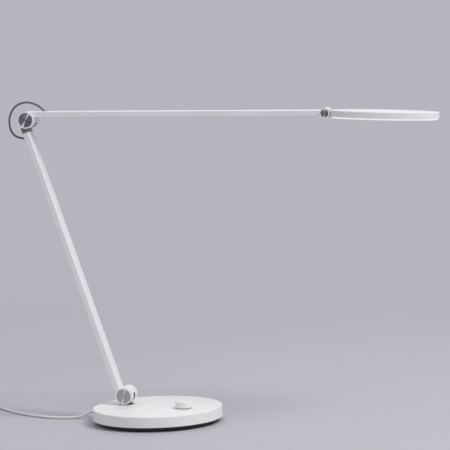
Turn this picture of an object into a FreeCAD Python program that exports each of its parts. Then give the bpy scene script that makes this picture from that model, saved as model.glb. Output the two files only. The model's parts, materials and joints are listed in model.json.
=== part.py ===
import FreeCAD, Part
import math
import os
import re

# Swing arm desk lamp.
# Row frame, in millimetres: the origin is the centre of the foot pad's underside, +X runs
# along the arms at rest, towards the lamp head, +Y points to the rear and +Z points up.

DIMENSIONS = (
    # The weighted base
    ("base_radius", 82, "outer radius of the cover's lower edge"),
    ("base_top_radius", 81.67, "outer radius of the cover's rim"),
    ("base_lift", 6, "height of the cover's lower edge above the desk"),
    ("wall_height", 13.67, "height of the cover's wall"),
    ("cover_wall", 2.2, "thickness of the cover's wall"),
    ("cover_top", 2, "thickness of the cover's top"),
    ("rim_round", 1, "rounding of the cover's rim"),
    ("foot_radius", 74, "radius of the rubber foot pad"),
    ("foot_thick", 2, "thickness of the foot pad"),
    ("plate_radius", 77, "radius of the bottom plate"),
    ("weight_radius", 76, "radius of the steel weight"),
    ("weight_height", 7, "thickness of the steel weight"),
    ("base_yaw", 20.5, "angle at rest from the arms to the base's own axis"),
    ("boss_circle", 66, "radius of the circle of cover bosses"),
    ("boss_radius", 4, "radius of a cover boss"),
    ("screw_radius", 1.5, "radius of a bottom screw"),
    ("screw_head_radius", 2.8, "radius of its head"),
    ("screw_head_thick", 1.7, "thickness of its head"),
    ("screw_bite", 6, "length of a bottom screw inside its boss"),
    # Clearances
    ("play_gap", 0.3, "gap between pieces that move past each other"),
    ("running_gap", 0.05, "radial clearance of a shaft in its bore"),
    # The swivel under the arms
    ("post_offset", 47.9, "swivel axis from the base's centre"),
    ("neck_radius", 9, "radius of the post's neck"),
    ("spindle_radius", 6, "radius of the post's spindle"),
    ("spindle_end", 9.2, "height of the spindle's lower end"),
    ("bush_wall", 1.6, "wall of the swivel bush round the neck"),
    ("bush_foot", 14, "height of the swivel bush's lower end"),
    ("bush_step", 16.7, "height of the step that carries the neck"),
    ("boss_wall", 2.6, "wall of the cover's boss round the bush"),
    ("swivel_washer_radius", 10, "radius of the washer under the bush"),
    ("swivel_washer_thick", 1.2, "thickness of that washer"),
    ("swivel_nut_radius", 9.6, "radius over the swivel nut's corners"),
    ("swivel_nut_thick", 2.8, "thickness of the swivel nut"),
    ("post_tongue_width", 9, "width of the tongue between neck and eye"),
    ("wire_bore", 2, "radius of the wire's way through the spindle"),
    # The two large hinges
    ("big_barrel_radius", 10.7, "radius of a large hinge barrel"),
    ("big_barrel_length", 28.8, "length of a large hinge barrel"),
    ("big_cap_radius", 9.1, "radius of its spun end cap"),
    ("big_cap_thick", 1, "thickness of the end cap"),
    ("big_eye_radius", 6.5, "radius of the eye inside the barrel"),
    ("big_eye_thick", 5, "thickness of the eye and its tongue"),
    ("big_washer_thick", 0.7, "thickness of a friction washer"),
    ("big_shaft_radius", 3, "radius of the hinge shaft"),
    ("big_pocket_radius", 5.9, "radius of the pockets behind the caps"),
    ("big_pocket_depth", 4.5, "depth of those pockets"),
    ("big_head_thick", 2.5, "thickness of the shaft's head"),
    ("big_nut_thick", 2.6, "thickness of the shaft's nut"),
    ("barrel_gap", 0.99, "gap between the base hinge barrel and the cover"),
    # The small hinge of the lamp head
    ("small_barrel_radius", 6.7, "radius of the head hinge barrel"),
    ("small_barrel_length", 24, "length of the head hinge barrel"),
    ("small_cap_radius", 4.9, "radius of its spun end cap"),
    ("small_cap_thick", 0.8, "thickness of the end cap"),
    ("small_eye_radius", 4.4, "radius of the eye inside the barrel"),
    ("small_eye_thick", 4, "thickness of the eye and its tongue"),
    ("small_washer_thick", 0.6, "thickness of a friction washer"),
    ("small_shaft_radius", 1.8, "radius of the hinge shaft"),
    ("small_pocket_radius", 3.9, "radius of the pockets behind the caps"),
    ("small_pocket_depth", 3.2, "depth of those pockets"),
    ("small_head_thick", 1.8, "thickness of the shaft's head"),
    ("small_nut_thick", 2, "thickness of the shaft's nut"),
    # The disc springs of the large hinges
    ("spring_thick", 0.6, "thickness of a disc spring"),
    ("spring_room", 0.6, "gap round a disc spring, a shaft's head or a nut in its pocket"),
    # The arms
    ("lower_length", 370.9, "base hinge axis to elbow axis, along the lower tube"),
    ("upper_length", 383.5, "elbow axis to head axis, along the upper tube"),
    ("arm_lean", 18.12, "lower tube's lean from upright at rest"),
    ("upper_dip", 1.09, "upper tube's dip from level at rest"),
    ("tube_width", 22, "width of an arm tube along the hinge axes"),
    ("tube_depth", 7.8, "depth of an arm tube"),
    ("tube_wall", 1, "wall of an arm tube"),
    ("tube_round", 1, "rounding of a tube's long edges"),
    ("root_length", 12, "barrel axis to the end of its tube"),
    ("leg_length", 16, "length of the legs that plug into a tube"),
    ("leg_gap", 6, "gap between the two legs, for the wire"),
    ("collar_front", 7.5, "elbow axis to the collar's end"),
    ("collar_length", 7.5, "length of the satin collar"),
    ("web_width", 7, "width of the tongue between collar and eye"),
    ("cable_radius", 1.3, "radius of the cable that loops round the elbow"),
    ("cable_hole_radius", 2.4, "radius of a cable grommet's hole"),
    ("grommet_radius", 2.9, "outer radius of a cable grommet"),
    ("grommet_proud", 0.4, "how far a grommet stands out of its tube"),
    ("cable_exit", 21.4, "elbow axis back to the hole in the lower tube"),
    ("cable_entry", 22, "elbow axis to the hole in the upper tube"),
    ("wire_radius", 1.2, "radius of the wire inside a tube"),
    # The lamp head
    ("head_dip", 2.65, "head's dip from level at rest"),
    ("head_half_length", 67.7, "half length of the oval head"),
    ("head_half_width", 41.3, "half width of the oval head"),
    ("head_setback", 5, "head axis to the oval head's near end"),
    ("head_top", 4.1, "head axis to the housing's top face"),
    ("housing_height", 7.95, "height of the housing"),
    ("housing_top", 1.2, "thickness of the housing's top"),
    ("housing_wall", 3.4, "thickness of the housing's wall"),
    ("housing_round", 0.7, "rounding of the housing's top edge"),
    ("diffuser_inset", 2.4, "diffuser's edge inside the housing's edge"),
    ("diffuser_thick", 1.8, "thickness of the diffuser below the housing"),
    ("diffuser_lip", 1.4, "height of the diffuser's lip inside the housing"),
    ("lip_wall", 1.2, "wall of that lip"),
    ("notch_radius", 7.3, "radius of the housing's notch round the hinge barrel"),
    ("notch_wall", 1.7, "wall behind the notch"),
    ("tongue_width", 5, "height of the head tongue"),
    ("saddle_setback", 1.6, "gap from the wall behind the notch to that plate"),
    ("saddle_length", 25, "length of the tongue's plate inside the head"),
    ("saddle_width", 18, "width of that plate"),
    ("saddle_thick", 2, "thickness of that plate"),
    ("spreader_thick", 1, "thickness of the heat spreader"),
    ("board_thick", 1, "thickness of the light board"),
    ("led_size", 2.8, "side of a light emitter"),
    ("led_thick", 0.7, "thickness of a light emitter"),
    ("led_pitch_long", 12, "spacing of the emitters along the head"),
    ("led_pitch_wide", 11, "spacing of the emitters across the head"),
    ("small_screw_radius", 1, "radius of a small screw"),
    ("small_screw_head_radius", 1.9, "radius of its head"),
    ("small_screw_head_thick", 0.8, "thickness of its head"),
    ("screw_cover", 0.5, "housing's top face above the tip of a small screw"),
    ("board_setback", 2, "wall of the housing to the light board's edge"),
    ("emitter_edge", 4.6, "least distance of an emitter's middle from the light board's edge"),
    ("saddle_screw_near", 16, "head axis to the first screws of the tongue's plate"),
    ("saddle_screw_far", 28, "head axis to its last screws"),
    ("saddle_screw_side", 6, "those screws to the head's middle line"),
    ("board_screw_near", 18, "head's centre back to the light board's first screws"),
    ("board_screw_far", 30, "head's centre to the light board's last screws"),
    ("board_screw_side", 16.5, "those screws to the head's middle line"),
    # The dimmer knob and its electronics
    ("knob_offset", 40, "knob's axis from the base's centre"),
    ("knob_radius", 10.8, "radius of the knob"),
    ("knob_height", 7.7, "height of the knob"),
    ("knob_gap", 1.13, "gap between the knob and the cover"),
    ("knob_wall", 1.3, "wall of the knob"),
    ("knob_roof", 1.5, "thickness of the knob's top"),
    ("knob_round", 0.6, "rounding of the knob's top edge"),
    ("knob_hub_radius", 5, "radius of the knob's hub"),
    ("knob_shaft_radius", 3, "radius of the knob's shaft"),
    ("knob_flat", 2.2, "shaft's axis to its flat"),
    ("encoder_side", 12.4, "side of the rotary encoder"),
    ("encoder_height", 5.7, "height of the encoder's case"),
    ("encoder_floor", 1.5, "floor under the encoder's rotor"),
    ("encoder_neck_radius", 3.6, "radius of the encoder's neck"),
    ("rotor_radius", 4.7, "radius of the encoder's rotor"),
    ("rotor_thick", 2, "thickness of the rotor"),
    ("circuit_length", 42, "length of the control board"),
    ("circuit_width", 34, "width of the control board"),
    ("circuit_thick", 1.6, "thickness of the control board"),
    ("circuit_height", 8.5, "height of the control board's underside"),
    ("circuit_post_radius", 2.8, "radius of a post that holds the board"),
    # The lead to the wall adapter
    ("cord_radius", 1.7, "radius of the cord"),
    ("cord_height", 9.8, "height at which the cord leaves the base"),
    ("cord_side", 189.5, "direction of the cord's outlet on the base"),
    ("grommet_neck_radius", 2.9, "radius of the cord grommet in the wall"),
    ("flange_thick", 2.2, "thickness of the grommet's inner flange"),
    ("flange_gap", 0.8, "gap between that flange and the wall"),
    ("grommet_flange_radius", 3.7, "radius of its flange inside the wall"),
    ("grommet_collar_radius", 3.3, "radius of its collar outside the wall"),
    ("grommet_tip_radius", 2.3, "radius of the collar's tip"),
    ("grommet_length", 7, "wall's outer face to the collar's tip"),
    ("coil_radius", 19, "radius of the coil at the middle of its turns"),
    ("coil_x", -282, "centre of the coil along X"),
    ("coil_y", 93, "centre of the coil along Y"),
    ("coil_half_band", 7, "half the width of the coil's turns"),
    ("coil_height", 13.9, "height of the coil"),
    ("coil_join", 65, "direction from the coil's centre in which the cord joins it"),
    ("adapter_length", 48, "length of the wall adapter"),
    ("adapter_width", 34, "width of the wall adapter"),
    ("adapter_depth", 24, "depth of the wall adapter"),
    ("adapter_round", 4, "rounding of the adapter's edges"),
    ("relief_x", -310, "axis of the adapter's strain relief along X"),
    ("relief_y", 84, "strain relief's tip along Y"),
    ("relief_length", 20, "length of the adapter's strain relief"),
    ("relief_radius", 3.4, "radius of the strain relief at the adapter"),
    ("relief_height", 5.2, "height of the strain relief's axis"),
    ("blade_length", 16, "length of an adapter blade"),
    ("blade_width", 6.3, "width of an adapter blade"),
    ("blade_thick", 1.5, "thickness of an adapter blade"),
    ("blade_spacing", 12.7, "spacing of the two blades"),
)

doc = FreeCAD.newDocument("DeskLamp")
sheet = doc.addObject("Spreadsheet::Sheet", "Sizes")
for row, (alias, value, note) in enumerate(DIMENSIONS, start=1):
    sheet.set(f"A{row}", str(value))
    sheet.setAlias(f"A{row}", alias)
    sheet.set(f"B{row}", note)
doc.recompute()

SIZE = {alias: value for alias, value, note in DIMENSIONS}

# Heights and places that several pieces share, as expressions of the sheet's values.
COVER_TOP = "(base_lift + wall_height)"
CEILING = f"({COVER_TOP} - cover_top)"
HINGE_HEIGHT = f"({COVER_TOP} + barrel_gap + big_barrel_radius)"
NECK_TOP = f"({COVER_TOP} + play_gap)"
BUSH_RADIUS = "(neck_radius + play_gap + bush_wall)"
TUBE_AXIS = "(big_barrel_radius - tube_depth / 2)"
TUBE_INNER = "(tube_depth - 2 * tube_wall)"
LOWER_TUBE_END = "(lower_length - collar_front - collar_length)"
HEAD_CENTRE = "(head_setback + head_half_length)"
HOUSING_FOOT = "(head_top - housing_height)"
HEAD_CEILING = "(head_top - housing_top)"
BOARD_FACE = f"({HEAD_CEILING} - spreader_thick - board_thick)"
CIRCUIT_TOP = "(circuit_height + circuit_thick)"
KNOB_FOOT = f"({COVER_TOP} + knob_gap)"

# Directions that the hinges' tongues leave their barrels in, seen from the front and
# counter-clockwise from the barrel's own +x, and how far each slot runs.
SLOTS = {
    "base_hinge": ("-93.35", "165"),
    "elbow": ("-18", "184"),
    "head_hinge": ("46", "167"),
}

FORWARD = ("0; 1; 0", "90")
SIDEWAYS = ("1; 0; 0", "-90")
UPRIGHT = ("0; 0; 1", "0")

local_places = {}
nodes = []


def sized(expression):
    """The expression with every size written as a cell of the sheet."""
    return re.sub(r"\b[a-z]\w*\b", lambda word: _cell(word.group()), expression)


def _cell(word):
    return f"Sizes.{word}" if word in SIZE else word


def bind(thing, **expressions):
    for name, expression in expressions.items():
        thing.setExpression(name, sized(str(expression)))
    return thing


def move(at="0; 0; 0", turn=UPRIGHT):
    """The text of a placement: a point, and a turn about an axis."""
    axis, angle = turn
    return f"placement(vector({at}); rotation(vector({axis}); {angle}))"


def place(thing, *moves):
    """Place an object by moves that are carried out from the last to the first."""
    local_places[thing.Name] = " * ".join(moves)
    thing.setExpression("Placement", sized(local_places[thing.Name]))
    return thing


def frame(name, *moves, within=None):
    """A named coordinate system, placed within another one."""
    system = doc.addObject("Part::LocalCoordinateSystem", name)
    text = " * ".join(moves)
    if within:
        text = f"{within}.Placement * {text}"
    system.setExpression("Placement", sized(text))
    return name


def rod(radius, length, at="0; 0; 0", turn=UPRIGHT):
    """A cylinder that starts at a point and runs up, forward or sideways."""
    thing = doc.addObject("Part::Cylinder", "Rod")
    bind(thing, Radius=radius, Height=length)
    return place(thing, move(at, turn))


def cone(radius, end_radius, length, at="0; 0; 0", turn=UPRIGHT):
    thing = doc.addObject("Part::Cone", "Cone")
    bind(thing, Radius1=radius, Radius2=end_radius, Height=length)
    return place(thing, move(at, turn))


def block(length, width, height, x="0", y="0", z="0"):
    """A box from x, centred on y, that stands on z."""
    thing = doc.addObject("Part::Box", "Block")
    bind(thing, Length=length, Width=width, Height=height)
    return place(thing, move(f"{x}; {y} - ({width}) / 2; {z}"))


def prism(radius, height, at, turn=UPRIGHT):
    thing = doc.addObject("Part::Prism", "Hexagon")
    thing.Polygon = 6
    bind(thing, Circumradius=radius, Height=height)
    return place(thing, move(at, turn))


def oval(inset, height, z):
    """An elliptic slab with the head's outline, drawn in by an inset."""
    outline = doc.addObject("Part::Ellipse", "Outline")
    bind(outline, MajorRadius=f"head_half_length - ({inset})")
    bind(outline, MinorRadius=f"head_half_width - ({inset})")
    place(outline, move(f"{HEAD_CENTRE}; 0; {z}"))
    slab = doc.addObject("Part::Extrusion", "Slab")
    slab.Base = outline
    slab.DirMode = "Normal"
    slab.Solid = True
    return bind(slab, LengthFwd=height)


def fused(*things):
    union = doc.addObject("Part::MultiFuse", "Union")
    union.Shapes = list(things)
    return union


def cut(base, *tools):
    remains = doc.addObject("Part::Cut", "Cut")
    remains.Base = base
    remains.Tool = tools[0] if len(tools) == 1 else fused(*tools)
    return remains


def common(first, second):
    shared = doc.addObject("Part::Common", "Common")
    shared.Base = first
    shared.Tool = second
    return shared


def group(things):
    """Separate solids that share one node."""
    solids = doc.addObject("Part::Compound", "Group")
    solids.Links = list(things)
    return solids


def rounded(base, radius_name, keep):
    """Fillet the edges that keep() accepts."""
    doc.recompute()
    radius = sheet.get(radius_name)
    edges = [(i, radius, radius) for i, edge in enumerate(base.Shape.Edges, 1) if keep(edge)]
    fillet = doc.addObject("Part::Fillet", "Rounded")
    fillet.Base = base
    fillet.Edges = edges
    return fillet


def runs_along_x(edge):
    ends = [vertex.Point for vertex in edge.Vertexes]
    return abs(abs(ends[0].x - ends[-1].x) - edge.Length) < 1e-6


def node(label, thing, within):
    """Name a finished sub-part and put it in its coordinate system."""
    text = f"{within}.Placement"
    if thing.Name in local_places:
        text = f"{text} * {local_places[thing.Name]}"
    thing.setExpression("Placement", sized(text))
    thing.Label = label
    nodes.append(thing)
    return thing


def grow(body, kind, at, **expressions):
    """Add a PartDesign primitive to a body, at a point of the body."""
    feature = body.newObject(f"PartDesign::{kind}", kind)
    feature.setExpression("Placement", sized(move(at)))
    bind(feature, **expressions)
    doc.recompute()
    return feature


def around(body, feature, count):
    """Repeat a feature round the body's upright axis."""
    upright = next(f for f in body.Origin.OriginFeatures if f.Role == "Z_Axis")
    pattern = body.newObject("PartDesign::PolarPattern", "Around")
    pattern.Originals = [feature]
    pattern.Axis = (upright, [""])
    pattern.Angle = 360
    pattern.Occurrences = count
    body.Tip = pattern
    doc.recompute()
    return pattern


def edge_names(feature, keep):
    edges = feature.Shape.Edges
    return [f"Edge{i}" for i, edge in enumerate(edges, 1) if keep(edge)]


BASE = frame("BaseFrame", move(turn=("0; 0; 1", "-base_yaw")))
POST = frame("PostFrame", move("-post_offset; 0; 0", ("0; 0; 1", "base_yaw")), within=BASE)
LOWER = frame(
    "LowerFrame",
    move(f"0; 0; {HINGE_HEIGHT}", ("0; 1; 0", "-(90 + arm_lean)")),
    within=POST,
)
UPPER = frame(
    "UpperFrame",
    move("lower_length; 0; 0", ("0; 1; 0", "90 + arm_lean + upper_dip")),
    within=LOWER,
)
HEAD_PIVOT = frame("HeadPivotFrame", move(f"upper_length; 0; {TUBE_AXIS}"), within=UPPER)
HEAD = frame("HeadFrame", move(turn=("0; 1; 0", "head_dip - upper_dip")), within=HEAD_PIVOT)
ROW = frame("RowFrame", move())
doc.recompute()

BOSS_COUNT = 4
BOSS_START = 45
SCREW_ANGLES = [BOSS_START + 360 / BOSS_COUNT * i for i in range(BOSS_COUNT)]
CIRCUIT_POSTS = [(end, side) for end in (-1, 1) for side in (-1, 1)]


def on_circle(angle, radius):
    """The x and y of a point of the base, as expressions."""
    return f"{radius} * cos({angle})", f"{radius} * sin({angle})"


def circuit_post(end, side):
    """Where a post of the control board stands."""
    x = f"knob_offset + {end} * (circuit_length / 2 - 3.5)"
    y = f"{side} * (circuit_width / 2 - 3.5)"
    return x, y


def make_base_cover():
    body = doc.addObject("PartDesign::Body", "BaseCover")
    shell = grow(
        body, "AdditiveCone", "0; 0; base_lift",
        Radius1="base_radius", Radius2="base_top_radius", Height="wall_height",
    )
    rim = body.newObject("PartDesign::Fillet", "RimRound")
    top = sheet.get("base_lift") + sheet.get("wall_height")
    rim.Base = (shell, edge_names(shell, lambda edge: edge.BoundBox.ZMin > top - 0.01))
    bind(rim, Radius="rim_round")
    doc.recompute()
    grow(
        body, "SubtractiveCylinder", "0; 0; base_lift",
        Radius="base_radius - cover_wall", Height="wall_height - cover_top",
    )
    x, y = on_circle(BOSS_START, "boss_circle")
    boss = grow(
        body, "AdditiveCylinder", f"{x}; {y}; base_lift",
        Radius="boss_radius", Height=f"{CEILING} - base_lift",
    )
    around(body, boss, BOSS_COUNT)
    pilot = grow(
        body, "SubtractiveCylinder", f"{x}; {y}; base_lift",
        Radius="screw_radius", Height="screw_bite",
    )
    around(body, pilot, BOSS_COUNT)
    grow(
        body, "AdditiveCylinder", "-post_offset; 0; bush_foot",
        Radius=f"{BUSH_RADIUS} + boss_wall", Height=f"{CEILING} - bush_foot",
    )
    grow(
        body, "SubtractiveCylinder", "-post_offset; 0; bush_foot",
        Radius=BUSH_RADIUS, Height=f"{COVER_TOP} - bush_foot + 1",
    )
    grow(
        body, "SubtractiveCylinder", f"knob_offset; 0; {CEILING}",
        Radius="encoder_neck_radius + play_gap", Height="cover_top + 1",
    )
    for end, side in CIRCUIT_POSTS:
        x, y = circuit_post(end, side)
        grow(
            body, "AdditiveCylinder", f"{x}; {y}; {CIRCUIT_TOP}",
            Radius="circuit_post_radius", Height=f"{CEILING} - {CIRCUIT_TOP}",
        )
        grow(
            body, "SubtractiveCylinder", f"{x}; {y}; {CIRCUIT_TOP}",
            Radius="small_screw_radius", Height="5",
        )
    outlet = body.newObject("PartDesign::SubtractiveCylinder", "CordOutlet")
    bind(outlet, Radius="grommet_neck_radius", Height="cover_wall * 3")
    way = move("0; 0; 0", ("0; 0; 1", "cord_side"))
    inside = move("base_radius - 2 * cover_wall; 0; cord_height", FORWARD)
    outlet.setExpression("Placement", sized(f"{way} * {inside}"))
    doc.recompute()
    return node("base_cover", body, BASE)


def make_base():
    node("foot_pad", rod("foot_radius", "foot_thick"), BASE)

    screws = []
    counterbores = []
    clearances = []
    for angle in SCREW_ANGLES:
        x, y = on_circle(angle, "boss_circle")
        head = rod("screw_head_radius", "screw_head_thick", f"{x}; {y}; foot_thick")
        shank_length = "base_lift - foot_thick - screw_head_thick + screw_bite"
        shank = rod("screw_radius", shank_length, f"{x}; {y}; foot_thick + screw_head_thick")
        screws.append(fused(head, shank))
        counterbores.append(fused(
            rod("screw_head_radius", "screw_head_thick", f"{x}; {y}; foot_thick"),
            rod("screw_radius", "base_lift", f"{x}; {y}; foot_thick"),
        ))
        clearances.append(rod("boss_radius + play_gap", "weight_height", f"{x}; {y}; base_lift"))
    node("bottom_screws", group(screws), BASE)
    plate = rod("plate_radius", "base_lift - foot_thick", "0; 0; foot_thick")
    node("bottom_plate", cut(plate, *counterbores), BASE)

    make_base_cover()

    weight = rod("weight_radius", "weight_height", "0; 0; base_lift")
    spindle_well = rod("swivel_nut_radius + 3", "weight_height", "-post_offset; 0; base_lift")
    window = block(
        "circuit_length + 4", "circuit_width + 4", "weight_height",
        "knob_offset - circuit_length / 2 - 2", "0", "base_lift",
    )
    channel = block("post_offset + knob_offset", "8", "weight_height", "-post_offset", "0", "base_lift")
    outlet_channel = block("weight_radius - 30", "9", "weight_height", "31", "0", "base_lift")
    place(
        outlet_channel,
        move(turn=("0; 0; 1", "cord_side")),
        local_places[outlet_channel.Name],
    )
    wells = clearances + [spindle_well, window, channel, outlet_channel]
    node("base_weight", cut(weight, *wells), BASE)


def make_swivel():
    bush = cut(
        rod(BUSH_RADIUS, f"{COVER_TOP} - bush_foot - play_gap", "0; 0; bush_foot"),
        rod("spindle_radius + running_gap", "bush_step", "0; 0; bush_foot"),
        rod("neck_radius + play_gap", "bush_step", "0; 0; bush_step"),
    )
    node("swivel_bush", bush, POST)

    shoulder = "(bush_step + play_gap)"
    eye_start = f"0; -big_eye_thick / 2; {HINGE_HEIGHT}"
    post = fused(
        rod("spindle_radius", f"{shoulder} - spindle_end", "0; 0; spindle_end"),
        rod("neck_radius", f"{NECK_TOP} - {shoulder}", f"0; 0; {shoulder}"),
        block(
            "post_tongue_width", "big_eye_thick", f"{HINGE_HEIGHT} - {NECK_TOP}",
            "-post_tongue_width / 2", "0", NECK_TOP,
        ),
        rod("big_eye_radius", "big_eye_thick", eye_start, SIDEWAYS),
    )
    bores = (
        rod("wire_bore", f"{shoulder} - spindle_end", "0; 0; spindle_end"),
        rod("big_shaft_radius + running_gap", "big_eye_thick", eye_start, SIDEWAYS),
    )
    node("hinge_post", cut(post, *bores), POST)

    washer_foot = "(bush_foot - play_gap - swivel_washer_thick)"
    washer = cut(
        rod("swivel_washer_radius", "swivel_washer_thick", f"0; 0; {washer_foot}"),
        rod("spindle_radius", "swivel_washer_thick", f"0; 0; {washer_foot}"),
    )
    node("swivel_washer", washer, POST)
    nut_foot = f"({washer_foot} - swivel_nut_thick)"
    nut = cut(
        prism("swivel_nut_radius", "swivel_nut_thick", f"0; 0; {nut_foot}"),
        rod("spindle_radius", "swivel_nut_thick", f"0; 0; {nut_foot}"),
    )
    node("swivel_nut", nut, POST)


def slot_sector(size, start, sweep):
    """The part of a barrel's wall that its neighbour's tongue swings through."""
    sector = doc.addObject("Part::Cylinder", "SlotSector")
    bind(sector, Radius=f"{size}_barrel_radius + 6", Angle=sweep)
    bind(sector, Height=f"{size}_eye_thick + 2 * ({size}_washer_thick + play_gap)")
    half = f"({size}_eye_thick / 2 + {size}_washer_thick + play_gap)"
    # Along the barrel the cylinder's own angle runs clockwise, seen from the front.
    return place(
        sector,
        move(f"0; -{half}; 0", ("0; 1; 0", f"-({start})")),
        move(turn=SIDEWAYS),
    )


def make_hinge(name, size, within, extras, springs=0):
    """A friction hinge: slotted barrel, spun caps, shaft, washers, disc springs and nut."""
    start, sweep = SLOTS[name]
    half = f"({size}_barrel_length / 2)"
    cap_inner = f"({half} - {size}_cap_thick)"
    pocket_floor = f"({cap_inner} - {size}_pocket_depth)"
    cheek = f"({size}_eye_thick / 2 + {size}_washer_thick + play_gap)"
    cap = (f"{size}_cap_radius", f"{size}_cap_thick")
    pocket = (f"{size}_pocket_radius", f"{size}_pocket_depth")
    shaft_radius = f"{size}_shaft_radius"

    def across(radius, length, y):
        return rod(radius, length, f"0; {y}; 0", SIDEWAYS)

    barrel = across(f"{size}_barrel_radius", f"{size}_barrel_length", f"-{half}")
    hollows = (
        across(*cap, f"-{half}"),
        across(*cap, cap_inner),
        across(*pocket, f"-{cap_inner}"),
        across(*pocket, pocket_floor),
        across(shaft_radius, f"2 * {cap_inner}", f"-{cap_inner}"),
        across(f"{size}_eye_radius + play_gap", f"2 * {cheek}", f"-{cheek}"),
        slot_sector(size, start, sweep),
    )
    node(f"{name}_barrel", cut(fused(barrel, *extras), *hollows), within)
    node(f"{name}_cap_front", across(*cap, f"-{half}"), within)
    node(f"{name}_cap_rear", across(*cap, cap_inner), within)

    head = across(f"{size}_pocket_radius - spring_room", f"{size}_head_thick", f"-{pocket_floor} - {size}_head_thick")
    stack = f"({springs} * spring_thick)"
    stem_length = f"2 * {pocket_floor} + {stack} + {size}_nut_thick"
    node(f"{name}_shaft", fused(head, across(shaft_radius, stem_length, f"-{pocket_floor}")), within)

    washers = [
        cut(
            across(f"{size}_eye_radius - play_gap", f"{size}_washer_thick", y),
            across(shaft_radius, f"{size}_washer_thick", y),
        )
        for y in (f"-{cheek}", f"{cheek} - {size}_washer_thick")
    ]
    node(f"{name}_friction_washers", group(washers), within)

    if springs:
        rings = [
            cut(
                across(f"{size}_pocket_radius - spring_room", "spring_thick", f"{pocket_floor} + {i} * spring_thick"),
                across(shaft_radius, "spring_thick", f"{pocket_floor} + {i} * spring_thick"),
            )
            for i in range(springs)
        ]
        node(f"{name}_disc_springs", group(rings), within)

    nut_y = f"({pocket_floor} + {stack})"
    nut = cut(
        prism(f"{size}_pocket_radius - spring_room / 2", f"{size}_nut_thick", f"0; {nut_y}; 0", SIDEWAYS),
        across(shaft_radius, f"{size}_nut_thick", nut_y),
    )
    node(f"{name}_nut", nut, within)


def legs(x, length):
    """The two legs that plug into the end of a tube, in the tube's own frame."""
    width = "(tube_width / 2 - tube_wall - leg_gap / 2)"
    return [
        block(length, width, TUBE_INNER, x, f"{side} * (leg_gap / 2 + {width} / 2)",
              f"{TUBE_AXIS} - {TUBE_INNER} / 2")
        for side in (-1, 1)
    ]


def bar(x, length):
    """A solid bar with a tube's outer section and rounded long edges."""
    stock = block(length, "tube_width", "tube_depth", x, "0", f"{TUBE_AXIS} - tube_depth / 2")
    return rounded(stock, "tube_round", runs_along_x)


def make_tube(name, x, length, hole_x, within):
    """An arm tube with the hole that its cable passes through."""
    bore = block(
        f"{length} + 2", "tube_width - 2 * tube_wall", TUBE_INNER,
        f"{x} - 1", "0", f"{TUBE_AXIS} - {TUBE_INNER} / 2",
    )
    wall_face = "(big_barrel_radius - tube_wall)"
    hole = rod("grommet_radius", "2 * tube_wall", f"{hole_x}; 0; {wall_face}")
    node(f"{name}_tube", cut(bar(x, length), bore, hole), within)
    height = "tube_wall + grommet_proud"
    grommet = cut(
        rod("grommet_radius", height, f"{hole_x}; 0; {wall_face}"),
        rod("cable_hole_radius", height, f"{hole_x}; 0; {wall_face}"),
    )
    node(f"{name}_cable_grommet", grommet, within)


def make_wire(name, x, length, within):
    """The wire lies against the inside of the tube's outer wall."""
    at = f"{x}; 0; big_barrel_radius - tube_wall - wire_radius"
    node(name, rod("wire_radius", length, at, FORWARD), within)


def make_lower_arm():
    root = bar("0", "root_length")
    make_hinge("base_hinge", "big", LOWER, [root, *legs("root_length", "leg_length")], springs=2)
    hole = "(lower_length - cable_exit)"
    make_tube("lower", "root_length", f"{LOWER_TUBE_END} - root_length", hole, LOWER)
    wire_start = "root_length + leg_length / 2"
    make_wire("lower_wire", wire_start, f"{hole} - cable_radius - ({wire_start})", LOWER)

    eye = "lower_length; -big_eye_thick / 2; 0"
    reach = "(collar_front + collar_length / 2)"
    web = doc.addObject("Part::Box", "Web")
    bind(web, Length=f"sqrt({reach}^2 + {TUBE_AXIS}^2)", Width="big_eye_thick", Height="web_width")
    place(
        web,
        move("lower_length; 0; 0", ("0; 1; 0", f"-(180 deg - atan({TUBE_AXIS} / {reach}))")),
        move("0; -big_eye_thick / 2; -web_width / 2"),
    )
    # The collar is hollowed where it sits against the elbow's barrel.
    saddle = rod(
        "big_barrel_radius + play_gap", "tube_width + 2",
        "lower_length; -tube_width / 2 - 1; 0", SIDEWAYS,
    )
    collar = cut(bar(LOWER_TUBE_END, "collar_length"), saddle)
    plug = legs(f"{LOWER_TUBE_END} - leg_length", "leg_length")
    tongue = fused(collar, web, rod("big_eye_radius", "big_eye_thick", eye, SIDEWAYS), *plug)
    bore = rod("big_shaft_radius + running_gap", "big_eye_thick", eye, SIDEWAYS)
    node("elbow_tongue", cut(tongue, bore), LOWER)


def make_upper_arm():
    root = bar("0", "root_length")
    make_hinge("elbow", "big", UPPER, [root, *legs("root_length", "leg_length")], springs=2)
    tail = "(tube_depth / 2 + small_barrel_radius)"
    tube_end = f"(upper_length - {tail})"
    make_tube("upper", "root_length", f"{tube_end} - root_length", "cable_entry", UPPER)
    wire_start = "(cable_entry + grommet_radius)"
    make_wire("upper_wire", wire_start, f"{tube_end} - {wire_start}", UPPER)
    # The head barrel's root and legs, drawn in the upper arm's frame and moved to the barrel's.
    extras = [bar(tube_end, tail), *legs(f"{tube_end} - leg_length", "leg_length")]
    moved = fused(*extras)
    place(moved, move(f"-upper_length; 0; -{TUBE_AXIS}"))
    make_hinge("head_hinge", "small", HEAD_PIVOT, [moved])


def small_screw(x, y, under, top):
    """A screw from below: its head hangs under a face and its tip ends at a height."""
    return fused(
        rod(
            "small_screw_head_radius", "small_screw_head_thick",
            f"{x}; {y}; {under} - small_screw_head_thick",
        ),
        rod("small_screw_radius", f"{top} - ({under})", f"{x}; {y}; {under}"),
    )


def four(near, far, side):
    """Four places: two distances along the head, each on both sides of its middle line."""
    return [(x, f"{way} * {side}") for x in (near, far) for way in (-1, 1)]


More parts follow.
